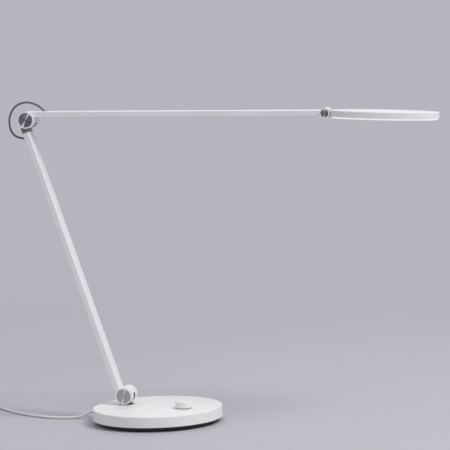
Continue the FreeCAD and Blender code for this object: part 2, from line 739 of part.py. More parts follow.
SADDLE_SCREWS = four("saddle_screw_near", "saddle_screw_far", "saddle_screw_side")
BOARD_SCREWS = four(
    f"{HEAD_CENTRE} - board_screw_near", f"{HEAD_CENTRE} + board_screw_far", "board_screw_side",
)
SCREW_TIP = "(head_top - screw_cover)"


def emitter_grid():
    """Rows and columns of emitters that stay inside the light board."""
    edge = sheet.get("housing_wall") + sheet.get("board_setback") + sheet.get("emitter_edge")
    long_half = sheet.get("head_half_length") - edge
    wide_half = sheet.get("head_half_width") - edge
    pitch_x = sheet.get("led_pitch_long")
    pitch_y = sheet.get("led_pitch_wide")
    for i in range(-5, 6):
        for j in range(-3, 4):
            if (i * pitch_x / long_half) ** 2 + (j * pitch_y / wide_half) ** 2 > 1:
                continue
            if i < -2 and j == 0:
                continue
            yield i, j


def make_head():
    barrel_room = "small_barrel_length + 1"
    notch = ("notch_radius", barrel_room, f"0; -({barrel_room}) / 2; 0", SIDEWAYS)
    wall_room = f"{barrel_room} + 2 * notch_wall"

    def behind_notch(gap):
        radius = f"notch_radius + notch_wall + {gap}"
        length = f"{wall_room} + 2 * {gap}"
        return rod(radius, length, f"0; -({length}) / 2; 0", SIDEWAYS)

    outer = oval("0", "housing_height", HOUSING_FOOT)
    top = sheet.get("head_top")
    outer = rounded(outer, "housing_round", lambda edge: edge.BoundBox.ZMin > top - 0.01)
    cavity = cut(
        oval("housing_wall", "housing_height - housing_top", HOUSING_FOOT),
        behind_notch("0"),
    )
    tongue_way = block(
        "notch_wall + 3", "small_eye_thick", "tongue_width",
        "notch_radius - 2", "0", "-tongue_width / 2",
    )
    holes = [
        rod("small_screw_radius", f"{SCREW_TIP} - {HEAD_CEILING}", f"{x}; {y}; {HEAD_CEILING}")
        for x, y in SADDLE_SCREWS + BOARD_SCREWS
    ]
    node("head_housing", cut(outer, cavity, rod(*notch), tongue_way, *holes), HEAD)

    saddle_start = "(notch_radius + notch_wall + saddle_setback)"
    saddle_foot = f"({HEAD_CEILING} - saddle_thick)"
    eye = "0; -small_eye_thick / 2; 0"
    tongue = fused(
        rod("small_eye_radius", "small_eye_thick", eye, SIDEWAYS),
        block(f"{saddle_start} + 1", "small_eye_thick", "tongue_width", "0", "0", "-tongue_width / 2"),
        block("saddle_length", "saddle_width", "saddle_thick", saddle_start, "0", saddle_foot),
    )
    bores = [rod("small_screw_radius", "saddle_thick", f"{x}; {y}; {saddle_foot}") for x, y in SADDLE_SCREWS]
    bores.append(rod("small_shaft_radius + running_gap", "small_eye_thick", eye, SIDEWAYS))
    above_ceiling = block(
        "saddle_length", "saddle_width", "3", "notch_radius + notch_wall", "0", HEAD_CEILING,
    )
    node("head_tongue", cut(tongue, above_ceiling, *bores), HEAD)
    screws = [small_screw(x, y, saddle_foot, SCREW_TIP) for x, y in SADDLE_SCREWS]
    node("tongue_screws", group(screws), HEAD)

    def board(inset, thick, z):
        saddle_room = block(
            f"{saddle_start} + saddle_length + play_gap", "saddle_width + 2 * play_gap",
            "10", "0", "0", "-5",
        )
        way = [rod("small_screw_radius", thick, f"{x}; {y}; {z}") for x, y in BOARD_SCREWS]
        return cut(oval(inset, thick, z), behind_notch("play_gap"), saddle_room, *way)

    spreader = board("housing_wall + play_gap", "spreader_thick", f"{HEAD_CEILING} - spreader_thick")
    node("heat_spreader", spreader, HEAD)
    node("led_board", board("housing_wall + board_setback", "board_thick", BOARD_FACE), HEAD)
    screws = [small_screw(x, y, BOARD_FACE, SCREW_TIP) for x, y in BOARD_SCREWS]
    node("led_screws", group(screws), HEAD)
    emitters = [
        block(
            "led_size", "led_size", "led_thick",
            f"{HEAD_CENTRE} + {i} * led_pitch_long - led_size / 2",
            f"{j} * led_pitch_wide", f"{BOARD_FACE} - led_thick",
        )
        for i, j in emitter_grid()
    ]
    node("leds", group(emitters), HEAD)

    pane = oval("diffuser_inset", "diffuser_thick", f"{HOUSING_FOOT} - diffuser_thick")
    lip = cut(
        oval("housing_wall + play_gap", "diffuser_lip", HOUSING_FOOT),
        oval("housing_wall + play_gap + lip_wall", "diffuser_lip", HOUSING_FOOT),
        behind_notch("play_gap"),
        block(f"{saddle_start} + 2", "small_eye_thick + 4 * play_gap", "10", "0", "0", "-5"),
    )
    node("diffuser", fused(pane, lip), HEAD)


def make_knob():
    rotor_foot = f"({CIRCUIT_TOP} + encoder_floor + play_gap)"
    cavity_height = "rotor_thick + 2 * play_gap"
    neck_top = f"({COVER_TOP} + 0.5)"
    case_top = f"({CIRCUIT_TOP} + encoder_height)"
    axis = "knob_offset; 0"
    case = fused(
        block("encoder_side", "encoder_side", "encoder_height",
              "knob_offset - encoder_side / 2", "0", CIRCUIT_TOP),
        rod("encoder_neck_radius", f"{neck_top} - {case_top}", f"{axis}; {case_top}"),
    )
    case = cut(
        case,
        rod("rotor_radius + play_gap", cavity_height, f"{axis}; {rotor_foot} - play_gap"),
        rod("knob_shaft_radius + running_gap", "20", f"{axis}; {rotor_foot}"),
    )
    node("encoder_body", case, BASE)

    def keyed(gap, length, z):
        """A round bar with one flat, as the shaft has at its lower end."""
        return common(
            rod(f"knob_shaft_radius + {gap}", length, f"{axis}; {z}"),
            block(f"10 + knob_flat + {gap}", "10", length, "knob_offset - 10", "0", z),
        )

    rotor = cut(
        rod("rotor_radius", "rotor_thick", f"{axis}; {rotor_foot}"),
        keyed("running_gap", "rotor_thick", rotor_foot),
    )
    node("encoder_rotor", rotor, BASE)

    shaft_foot = f"({rotor_foot} + 0.5)"
    key_top = f"({rotor_foot} + rotor_thick + 1)"
    shaft_top = f"({KNOB_FOOT} + knob_height - knob_roof)"
    shaft = fused(
        keyed("0", f"{key_top} - {shaft_foot}", shaft_foot),
        rod("knob_shaft_radius", f"{shaft_top} - {key_top}", f"{axis}; {key_top}"),
    )
    node("knob_shaft", shaft, BASE)

    body = doc.addObject("PartDesign::Body", "KnobCap")
    drum = grow(
        body, "AdditiveCylinder", f"{axis}; {KNOB_FOOT}",
        Radius="knob_radius", Height="knob_height",
    )
    top = drum.Shape.BoundBox.ZMax
    edge_round = body.newObject("PartDesign::Fillet", "KnobRound")
    edge_round.Base = (drum, edge_names(drum, lambda edge: edge.BoundBox.ZMin > top - 0.01))
    bind(edge_round, Radius="knob_round")
    doc.recompute()
    grow(
        body, "SubtractiveCylinder", f"{axis}; {KNOB_FOOT}",
        Radius="knob_radius - knob_wall", Height="knob_height - knob_roof",
    )
    grow(
        body, "AdditiveCylinder", f"{axis}; {KNOB_FOOT} + 0.8",
        Radius="knob_hub_radius", Height="knob_height - knob_roof - 0.8",
    )
    grow(
        body, "SubtractiveCylinder", f"{axis}; {KNOB_FOOT}",
        Radius="knob_shaft_radius", Height="knob_height - knob_roof",
    )
    node("knob_cap", body, BASE)


def make_circuit():
    plate = block(
        "circuit_length", "circuit_width", "circuit_thick",
        "knob_offset - circuit_length / 2", "0", "circuit_height",
    )
    holes = []
    screws = []
    for end, side in CIRCUIT_POSTS:
        x, y = circuit_post(end, side)
        holes.append(rod("small_screw_radius", "circuit_thick", f"{x}; {y}; circuit_height"))
        screws.append(small_screw(x, y, "circuit_height", f"({CIRCUIT_TOP} + 4)"))
    node("control_board", cut(plate, *holes), BASE)
    node("board_screws", group(screws), BASE)
    parts = [
        block("7", "5", "1.4", "knob_offset - 17", "2", CIRCUIT_TOP),
        block("5", "4", "1.2", "knob_offset - 15", "-6", CIRCUIT_TOP),
        block("4", "4", "2.4", "knob_offset + 10", "6", CIRCUIT_TOP),
        block("6", "8", "3.2", "knob_offset + 11", "-3", CIRCUIT_TOP),
        rod("2.5", "5", f"knob_offset - 8; 12; {CIRCUIT_TOP}"),
        rod("2.5", "5", f"knob_offset + 6; -12; {CIRCUIT_TOP}"),
    ]
    node("board_parts", group(parts), BASE)


def soft_path(points):
    """Straight runs joined by tangent arcs, each as large as its two runs allow."""
    edges = []
    radii = []
    start = points[0]
    for before, corner, after in zip(points, points[1:], points[2:]):
        back = before - corner
        ahead = after - corner
        reach = 0.45 * min(back.Length, ahead.Length)
        half_turn = (math.pi - back.getAngle(ahead)) / 2
        radius = reach / math.tan(half_turn)
        back.normalize()
        ahead.normalize()
        inward = (back + ahead).normalize()
        middle = corner + inward * (radius / math.cos(half_turn) - radius)
        edges.append(Part.LineSegment(start, corner + back * reach).toShape())
        edges.append(Part.Arc(corner + back * reach, middle, corner + ahead * reach).toShape())
        start = corner + ahead * reach
        radii.append(radius)
    edges.append(Part.LineSegment(start, points[-1]).toShape())
    return Part.Wire(edges), radii


def soft_tube(label, points, radius, within=None):
    """A tube of one radius along a list of points."""
    path, radii = soft_path(points)
    heading = points[1] - points[0]
    section = Part.Wire(Part.makeCircle(radius, points[0], heading))
    thing = doc.addObject("Part::Feature", label)
    thing.Shape = path.makePipeShell([section], True, True)
    thing.Label = label
    expected = math.pi * radius**2 * path.Length
    print(f"{label}: length {path.Length:.1f}, volume ratio {thing.Shape.Volume / expected:.4f},"
          f" least radius {min(radii):.1f}")
    if within:
        thing.Placement = doc.getObject(within).Placement
    nodes.append(thing)
    return thing


# The elbow cable's points: x along the arm from the elbow axis, and z, in the named frame.
CABLE_ROUTE = (
    (LOWER, -21.4, 5.6),
    (LOWER, -20.9, 13.2),
    (LOWER, -17.4, 19.6),
    (LOWER, -9.4, 26.4),
    (UPPER, -25.0, -8.0),
    (UPPER, -25.5, 3.4),
    (UPPER, -21.2, 13.2),
    (UPPER, -13.4, 20.0),
    (UPPER, -2.5, 22.6),
    (UPPER, 8.2, 20.2),
    (UPPER, 16.6, 15.4),
    (UPPER, 22.0, 11.8),
    (UPPER, 22.6, 6.0),
)

# The cord's points from the grommet's tip to the coil, in the row frame.
CORD_ROUTE = (
    (-91.8, 17.8, 9.6),
    (-96.8, 17.4, 7.6),
    (-102.8, 16.9, 4.4),
    (-110.0, 16.2, 2.2),
    (-120.0, 14.4, 1.75),
    (-135.5, 13.2, 1.75),
    (-154.5, 18.4, 1.75),
    (-173.5, 29.4, 1.75),
    (-188.5, 39.0, 1.75),
    (-205.0, 52.6, 1.75),
    (-221.0, 69.4, 1.75),
    (-237.5, 86.4, 1.75),
    (-247.0, 96.0, 1.75),
    (-258.0, 106.0, 1.75),
)

# The cord's points from the coil's last turn down into the adapter's strain relief.
TAIL_ROUTE = (
    (-296.0, 108.5, 8.0),
    (-304.5, 106.5, 6.6),
    (-309.6, 99.0, 5.4),
    (-310.0, 78.0, 5.2),
)


def make_elbow_cable():
    points = []
    for frame_name, x, z in CABLE_ROUTE:
        along = sheet.get("lower_length") + x if frame_name == LOWER else x
        point = doc.getObject(frame_name).Placement.multVec(FreeCAD.Vector(along, 0, z))
        points.append(point)
    soft_tube("elbow_cable", points, sheet.get("cable_radius"))


def make_base_wiring():
    """The wires from the cord grommet, under the swivel nut, to the control board."""
    height = sheet.get("circuit_height") - sheet.get("wire_radius")
    angle = math.radians(sheet.get("cord_side"))
    grommet_back = sheet.get("base_radius") - sheet.get("cover_wall") - 3
    board_edge = sheet.get("knob_offset") - sheet.get("circuit_length") / 2
    start = FreeCAD.Vector(math.cos(angle), math.sin(angle), 0) * grommet_back
    inner = start * 0.9
    points = [
        start + FreeCAD.Vector(0, 0, sheet.get("cord_height")),
        inner + FreeCAD.Vector(0, 0, sheet.get("cord_height") - 0.6),
        start * 0.8 + FreeCAD.Vector(0, 0, height),
        FreeCAD.Vector(-sheet.get("post_offset"), -3.5, height),
        FreeCAD.Vector(-28, 0, height),
        FreeCAD.Vector(-9, 1, height),
        FreeCAD.Vector(board_edge + 3, 0, height),
    ]
    soft_tube("base_wiring", points, sheet.get("wire_radius"), within=BASE)


def make_cord():
    outward = move(turn=("0; 0; 1", "cord_side"))

    def from_wall(thing, x):
        return place(thing, outward, move(f"{x}; 0; cord_height", FORWARD))

    inner_face = "(base_radius - cover_wall)"
    flange_face = f"({inner_face} - flange_gap)"
    flange = from_wall(
        rod("grommet_flange_radius", "flange_thick"), f"{flange_face} - flange_thick",
    )
    neck_length = f"base_radius + play_gap + 1 - {flange_face}"
    neck = from_wall(rod("grommet_neck_radius", neck_length), flange_face)
    collar = from_wall(
        cone("grommet_collar_radius", "grommet_tip_radius", "grommet_length - play_gap"),
        "base_radius + play_gap",
    )
    node("cord_grommet", fused(flange, neck, collar), BASE)

    reach = sheet.get("base_radius") + sheet.get("grommet_length")
    side = math.radians(sheet.get("cord_side"))
    tip = doc.getObject(BASE).Placement.multVec(FreeCAD.Vector(
        reach * math.cos(side), reach * math.sin(side), sheet.get("cord_height"),
    ))
    turn_radius = sheet.get("coil_radius") + sheet.get("coil_half_band") - sheet.get("cord_radius")
    joining = math.radians(sheet.get("coil_join"))
    coil_side = FreeCAD.Vector(
        sheet.get("coil_x") + turn_radius * math.cos(joining),
        sheet.get("coil_y") + turn_radius * math.sin(joining),
        CORD_ROUTE[-1][2],
    )
    points = [tip, *(FreeCAD.Vector(*point) for point in CORD_ROUTE), coil_side]
    soft_tube("cord_run", points, sheet.get("cord_radius"))

    coil_at = "coil_x; coil_y; 0"
    coil = cut(
        rod("coil_radius + coil_half_band", "coil_height", coil_at),
        rod("coil_radius - coil_half_band", "coil_height", coil_at),
    )
    node("cord_coil", coil, ROW)
    tail = [FreeCAD.Vector(*point) for point in TAIL_ROUTE]
    soft_tube("cord_tail", tail, sheet.get("cord_radius"))

    relief = cone(
        "cord_radius + 0.4", "relief_radius", "relief_length",
        "relief_x; relief_y; relief_height", ("1; 0; 0", "90"),
    )
    node("adapter_relief", relief, ROW)
    body_back = "(relief_y - relief_length)"
    stock = block(
        "adapter_width", "adapter_length", "adapter_depth",
        "relief_x - adapter_width / 2", f"{body_back} - adapter_length / 2", "0",
    )
    case = rounded(stock, "adapter_round", lambda edge: edge.BoundBox.ZLength > 1)
    node("adapter_body", case, ROW)
    blades = [
        block(
            "blade_thick", "blade_width", "blade_length",
            f"relief_x + {side} * blade_spacing / 2 - blade_thick / 2",
            f"{body_back} - adapter_length * 0.45", "adapter_depth",
        )
        for side in (-1, 1)
    ]
    node("adapter_pins", group(blades), ROW)


make_base()
make_swivel()
make_circuit()
make_knob()
make_lower_arm()
make_upper_arm()
make_head()
doc.recompute()
make_elbow_cable()
make_base_wiring()
make_cord()
doc.recompute()

for thing in doc.Objects:
    if "Invalid" in thing.State or "Error" in thing.State:
        raise RuntimeError(f"{thing.Name} ({thing.Label}) failed: {thing.State}")

os.makedirs("parts", exist_ok=True)
for thing in nodes:
    shape = thing.Shape
    if shape.isNull() or not shape.isValid() or not shape.Solids:
        raise RuntimeError(f"{thing.Label} has no valid solid")
for thing in nodes:
    thing.Shape.exportStep(f"parts/{thing.Label}.step")
print(f"{len(nodes)} nodes written")
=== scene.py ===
import json
import math

import bmesh
import bpy
from mathutils import Matrix, Vector


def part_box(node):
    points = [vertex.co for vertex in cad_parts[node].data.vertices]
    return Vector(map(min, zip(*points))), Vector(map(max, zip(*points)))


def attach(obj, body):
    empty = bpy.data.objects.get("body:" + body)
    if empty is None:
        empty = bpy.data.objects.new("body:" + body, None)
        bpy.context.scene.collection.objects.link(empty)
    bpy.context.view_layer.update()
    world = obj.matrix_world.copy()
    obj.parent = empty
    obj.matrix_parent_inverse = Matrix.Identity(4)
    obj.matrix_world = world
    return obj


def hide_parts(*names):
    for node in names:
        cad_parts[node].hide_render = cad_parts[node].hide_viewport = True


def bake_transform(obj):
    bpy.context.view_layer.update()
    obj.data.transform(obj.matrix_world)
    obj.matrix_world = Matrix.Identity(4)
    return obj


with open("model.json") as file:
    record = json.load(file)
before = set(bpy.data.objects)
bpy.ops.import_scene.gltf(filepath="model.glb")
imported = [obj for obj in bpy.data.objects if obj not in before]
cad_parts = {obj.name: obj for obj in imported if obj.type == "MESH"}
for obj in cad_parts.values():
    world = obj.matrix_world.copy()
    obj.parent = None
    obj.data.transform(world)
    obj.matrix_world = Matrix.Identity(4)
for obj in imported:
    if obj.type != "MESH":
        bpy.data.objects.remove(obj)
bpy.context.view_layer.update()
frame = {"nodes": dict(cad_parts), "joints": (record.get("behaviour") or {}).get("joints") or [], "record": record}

MM = 0.001
MICRON = 0.001 * MM
WHOLE_TURN = 2 * math.pi
NODES = frame["nodes"]
PIVOT = {joint["name"]: Vector(joint["pos_m"]) for joint in frame["joints"] if "pos_m" in joint}

# The camera stands in front of the lamp, a little to the right and above the desk.
CAMERA_PLACE = Vector((0.719591, -2.763059, 0.487985))
CAMERA_YAW = -0.22242
CAMERA_DIP = 0.08461
CAMERA_ROLL = -0.03258
CAMERA_LENS = 182.863
CAMERA_SENSOR = 36
CAMERA_REACH = 200

# The studio: a pale floor that runs out into a background of nearly the same tone.
FLOOR_TONE = (0.47, 0.46, 0.50)
BACKDROP_TONE = (0.47, 0.46, 0.51)
FLOOR_HALF = 40.0
FADE_START = 0.45
FADE_END = 2.2
SKY_TONE = (0.95, 0.96, 1.0)
SKY_LIGHT = 0.55
# Each lamp: its place, its two sides, its power and its tone. All face the same point.
LAMPS = {
    "key": ((1.7, -0.6, 2.3), (1.0, 1.0), 47, (1.0, 0.97, 0.94)),
    "fill": ((-2.1, -1.4, 1.0), (1.6, 1.6), 5, (0.88, 0.92, 1.0)),
    "rim": ((-0.6, 2.2, 1.7), (1.8, 0.9), 10, (0.94, 0.95, 1.0)),
}
LAMPS_FACE = Vector((0.0, 0.0, 0.2))

# Which edges stay sharp, by their angle in degrees, and how finely curved shapes are cut.
SHARP_ANGLE = 35
CABLE_SHARP_ANGLE = 60
CORNER_STEPS = 6
TUBE_FACETS = 5
CABLE_STEPS = 10
CORD_STEPS = 4
CAP_SEGMENTS = 96
RELIEF_SEGMENTS = 40

# The arms' directions at rest: each arm's own x runs along its tube, z to its outer side.
LOWER_TURN = math.radians(-108.12)
UPPER_TURN = math.radians(1.09)

# The elbow cable: the arm whose frame each point is in, then x along that arm from the elbow's
# axis and z to its outer side, in mm.
CABLE_RADIUS = 1.3 * MM
CABLE_ROUTE = (
    (LOWER_TURN, -21.4, 6.8),
    (LOWER_TURN, -20.9, 13.2),
    (LOWER_TURN, -17.4, 19.6),
    (LOWER_TURN, -13.0, 24.6),
    (LOWER_TURN, -6.4, 27.2),
    (UPPER_TURN, -25.8, -6.6),
    (UPPER_TURN, -25.6, 3.4),
    (UPPER_TURN, -21.2, 13.2),
    (UPPER_TURN, -13.4, 20.0),
    (UPPER_TURN, -2.5, 22.6),
    (UPPER_TURN, 7.6, 20.5),
    (UPPER_TURN, 15.6, 16.0),
    (UPPER_TURN, 20.9, 10.9),
    (UPPER_TURN, 22.6, 6.0),
)

# The cord from the base to its coil, in metres. It lies on the desk from the fifth point on.
CORD_RADIUS = 1.7 * MM
CORD_EXIT = (-0.08736, 0.01698, 0.0098)
CORD_ROUTE = (
    (-0.0918, 0.0178, 0.0096),
    (-0.0968, 0.0174, 0.0076),
    (-0.1028, 0.0169, 0.0044),
    (-0.1100, 0.0162, 0.0022),
    (-0.1200, 0.0144, 0.00175),
    (-0.1355, 0.0132, 0.00175),
    (-0.1545, 0.0184, 0.00175),
    (-0.1735, 0.0294, 0.00175),
    (-0.1885, 0.0390, 0.00175),
    (-0.2050, 0.0526, 0.00175),
    (-0.2210, 0.0694, 0.00175),
    (-0.2375, 0.0864, 0.00175),
    (-0.2470, 0.0960, 0.00175),
    (-0.2580, 0.1060, 0.00175),
)
# The coil: flat layers of turns, wound inwards and outwards in turn.
COIL_CENTRE = Vector((-0.282, 0.093, 0))
COIL_START = math.radians(62)
COIL_INNER = 13.4 * MM
COIL_OUTER = 24.0 * MM
COIL_FLOOR = 1.75 * MM
LAYER_PITCH = 3.45 * MM
LAYERS = 4
LAYER_TURNS = 3.25
CLIMB_TURNS = 0.22
POINTS_PER_TURN = 24
# How the cord leaves the coil: the shortest turn it takes, and where it starts out and down.
EXIT_RADIUS = 28 * MM
EXIT_TURN = math.radians(100)
OUT_START, OUT_SPAN = 0.32, 0.28
DOWN_START, DOWN_SPAN = 0.5, 0.5
RELIEF_TIP = Vector((-0.310, 0.084, 0.0052))
CORD_INSIDE_RELIEF = (1 * MM, 12 * MM)


# ---------------------------------------------------------------- small helpers

def add_object(name, data):
    """A new object in the scene."""
    made = bpy.data.objects.new(name, data)
    bpy.context.scene.collection.objects.link(made)
    return made


def smooth_step(t):
    """The way from 0 to 1, level at both ends."""
    t = min(max(t, 0.0), 1.0)
    return t * t * (3 - 2 * t)


def mesh_from_rings(name, rings, loop=False):
    """A mesh through rings of equally many points, with its ends capped or joined in a loop."""
    mesh = bmesh.new()
    rows = [[mesh.verts.new(point) for point in ring] for ring in rings]
    count = len(rows[0])
    pairs = list(zip(rows, rows[1:]))
    if loop:
        pairs.append((rows[-1], rows[0]))
    for low, high in pairs:
        for i in range(count):
            j = (i + 1) % count
            mesh.faces.new((low[i], low[j], high[j], high[i]))
    if not loop:
        mesh.faces.new(list(reversed(rows[0])))
        mesh.faces.new(rows[-1])
    bmesh.ops.recalc_face_normals(mesh, faces=mesh.faces)
    data = bpy.data.meshes.new(name)
    mesh.to_mesh(data)
    mesh.free()
    shade(data, SHARP_ANGLE)
    return data


def shade(data, sharp_angle):
    """Shade a mesh smooth, but for edges sharper than an angle in degrees."""
    data.polygons.foreach_set("use_smooth", [True] * len(data.polygons))
    data.set_sharp_from_angle(angle=math.radians(sharp_angle))


def lathe(name, profile, segments):
    """A solid of revolution about the local z axis from (radius, height) points, axis to axis."""
    rings = [
        [
            (radius * math.cos(turn), radius * math.sin(turn), height)
            for turn in (WHOLE_TURN * i / segments for i in range(segments))
        ]
        for radius, height in profile
    ]
    return mesh_from_rings(name, rings)


def rounded_box_ring(half_x, half_y, radius, z):
    """A closed outline of a rectangle with rounded corners at a height."""
    ring = []
    for quarter, (sx, sy) in enumerate(((1, 1), (-1, 1), (-1, -1), (1, -1))):
        for i in range(CORNER_STEPS + 1):
            turn = math.pi / 2 * (quarter + i / CORNER_STEPS)
            ring.append((
                sx * (half_x - radius) + radius * math.cos(turn),
                sy * (half_y - radius) + radius * math.sin(turn),
                z,
            ))
    return ring


def facing(axis, place):
    """The matrix that turns local z towards an axis and moves the origin to a place."""
    return Matrix.Translation(place) @ Vector(axis).to_track_quat("Z", "Y").to_matrix().to_4x4()


def spline_curve(name, points, radius, steps):
    """A NURBS curve with these control points, as a round tube if it has a radius."""
    data = bpy.data.curves.new(name, "CURVE")
    data.dimensions = "3D"
    data.resolution_u = steps
    spline = data.splines.new("NURBS")
    spline.points.add(len(points) - 1)
    for control, point in zip(spline.points, points):
        control.co = (*point, 1)
    spline.order_u = 3
    spline.use_endpoint_u = True
    data.bevel_depth = radius
    data.bevel_resolution = TUBE_FACETS
    data.use_fill_caps = True
    return data


def mesh_of_curve(name, data):
    """The mesh that a curve's data makes: a tube, or a bare line if it has no radius."""
    holder = add_object(name + "-curve", data)
    bpy.context.view_layer.update()
    graph = bpy.context.evaluated_depsgraph_get()
    mesh = bpy.data.meshes.new_from_object(holder.evaluated_get(graph))
    bpy.data.objects.remove(holder)
    return mesh


# ---------------------------------------------------------------- finishes

# The part of a noise's range that nearly all of it lies in.
NOISE_LOW, NOISE_HIGH = 0.3, 0.7
# The sockets of a colour mix.
MIX_FACTOR, MIX_LOW, MIX_HIGH, MIX_RESULT = 0, 6, 7, 2

# A barrel's bore: its painted shade, how fast the coat fades into it, and how far inside the faces.
PAINTED_BORE_SHADE = (0.035, 0.034, 0.036)
BORE_FADE = 0.3 * MM
COAT_DEPTH = 0.35 * MM

# A spun disc: how fine its rings are and how much they show, then its sectors of painted
# highlight, where they start as a squared cosine, how bright they are and how much the rest wanders.
RING_SCALE = 5200.0
RING_SHARE = 0.25
PAINTED_HIGHLIGHT_EDGE = 0.93
PAINTED_HIGHLIGHT = 0.85
PAINTED_HIGHLIGHT_WANDER = (-0.05, 0.3)
# Brush lines: their scale across and along.
BRUSH_ACROSS = 4200.0
BRUSH_ALONG = 90.0


class Finish:
    """A material in the making: its node tree and its shader. Depths are in microns."""

    def __init__(self, name, colour, roughness, **values):
        self.material = bpy.data.materials.new(name)
        self.material.use_nodes = True
        self.tree = self.material.node_tree
        self.shader = self.tree.nodes["Principled BSDF"]
        self.colour, self.roughness = colour, roughness
        self.set("Base Color", (*colour, 1))
        self.set("Roughness", roughness)
        for socket, value in values.items():
            self.set(socket.replace("_", " "), value)
        self.place = self.add("ShaderNodeTexCoord").outputs["Object"]

    def set(self, socket, value):
        """Give a socket of the shader a value."""
        self.shader.inputs[socket].default_value = value

    def link(self, output, socket):
        """Feed a socket of the shader from another node."""
        self.tree.links.new(output, self.shader.inputs[socket])

    def add(self, kind, inputs=None, **settings):
        """A node with its settings, then its inputs: values, or other nodes' sockets."""
        node = self.tree.nodes.new(kind)
        for name, value in settings.items():
            setattr(node, name, value)
        for name, value in (inputs or {}).items():
            if isinstance(value, bpy.types.NodeSocket):
                self.tree.links.new(value, node.inputs[name])
            else:
                node.inputs[name].default_value = value
        return node

    def calc(self, operation, *values):
        """The number that an operation makes."""
        node = self.add("ShaderNodeMath", dict(enumerate(values)), operation=operation)
        return node.outputs[0]

    def vector_calc(self, operation, *values):
        """The vector that an operation makes, or the number if it is a length."""
        node = self.add("ShaderNodeVectorMath", dict(enumerate(values)), operation=operation)
        return node.outputs["Value" if operation == "LENGTH" else "Vector"]

    def component(self, vector, axis):
        """One component of a vector."""
        return self.add("ShaderNodeSeparateXYZ", {"Vector": vector}).outputs[axis]

    def mapped(self, value, low, high, start=0.0, end=1.0, **settings):
        """What runs from start to end while a value runs from low to high."""
        inputs = {
            "Value": value, "From Min": low, "From Max": high, "To Min": start, "To Max": end,
        }
        return self.add("ShaderNodeMapRange", inputs, **settings).outputs["Result"]

    def stretched(self, scale):
        """Object coordinates scaled along each axis."""
        inputs = {"Vector": self.place, "Scale": scale}
        return self.add("ShaderNodeMapping", inputs).outputs["Vector"]

    def noise(self, scale, detail=2.0, vector=None):
        """Noise with features of about 1 / scale metres."""
        inputs = {"Vector": vector or self.place, "Scale": scale, "Detail": detail}
        return self.add("ShaderNodeTexNoise", inputs).outputs["Fac"]

    def spread(self, factor, start, end):
        """A noise's usual range, stretched from start to end."""
        return self.mapped(factor, NOISE_LOW, NOISE_HIGH, start, end)

    def mix_colours(self, factor, low, high):
        """Colour the shader with a mix of two colours or sockets."""
        inputs = {MIX_FACTOR: factor, MIX_LOW: low, MIX_HIGH: high}
        mix = self.add("ShaderNodeMix", inputs, data_type="RGBA")
        self.link(mix.outputs[MIX_RESULT], "Base Color")

    def two_tones(self, factor, low, high):
        """Vary the colour between two others."""
        self.mix_colours(self.spread(factor, 0.0, 1.0), (*low, 1), (*high, 1))

    def uneven_tone(self, factor, low, high):
        """Vary the colour between two shares of itself."""
        self.two_tones(factor, tinted(self.colour, low), tinted(self.colour, high))

    def uneven_gloss(self, factor, less, more):
        """Vary the roughness from a little less to a little more."""
        rough = self.spread(factor, self.roughness - less, self.roughness + more)
        self.link(rough, "Roughness")

    def relief(self, height, depth, below=None):
        """Bumps of a depth, laid over another bump if there is one."""
        inputs = {"Height": height, "Distance": depth * MICRON, "Strength": 1.0}
        if below:
            inputs["Normal"] = below
        normal = self.add("ShaderNodeBump", inputs).outputs["Normal"]
        self.link(normal, "Normal")
        return normal

    def paint_bore_shade(self, axis, radius, half_length):
        """Paint shade on what lies inside a cylinder along y: a dark colour in place of the coat."""
        away = self.vector_calc("SUBTRACT", self.place, axis)
        distance = self.vector_calc("LENGTH", self.vector_calc("MULTIPLY", away, (1, 0, 1)))
        reach = self.calc("ABSOLUTE", self.component(away, "Y"))
        shares = [
            self.mapped(value, limit - BORE_FADE, limit)
            for value, limit in ((distance, radius), (reach, half_length))
        ]
        coat_colour = self.shader.inputs["Base Color"].links[0].from_socket
        self.mix_colours(self.calc("MAXIMUM", *shares), (*PAINTED_BORE_SHADE, 1), coat_colour)


def tinted(colour, share):
    """A share of a colour, no brighter than white."""
    return tuple(min(1.0, channel * share) for channel in colour)


def coated(name, colour, gloss, peel_scale, peel_depth, bore=None):
    """Paint or plastic: a faint unevenness of tone and gloss, a fine surface texture, and painted shade in a bore
    if one is given.
    """
    finish = Finish(name, colour, gloss)
    finish.uneven_tone(finish.noise(9), 0.975, 1.015)
    finish.uneven_gloss(finish.noise(38, 4), 0.05, 0.06)
    waves = finish.relief(finish.noise(peel_scale, 1), peel_depth)
    finish.relief(finish.noise(peel_scale * 6, 2), peel_depth * 0.25, waves)
    if bore:
        finish.paint_bore_shade(*bore)
    return finish.material


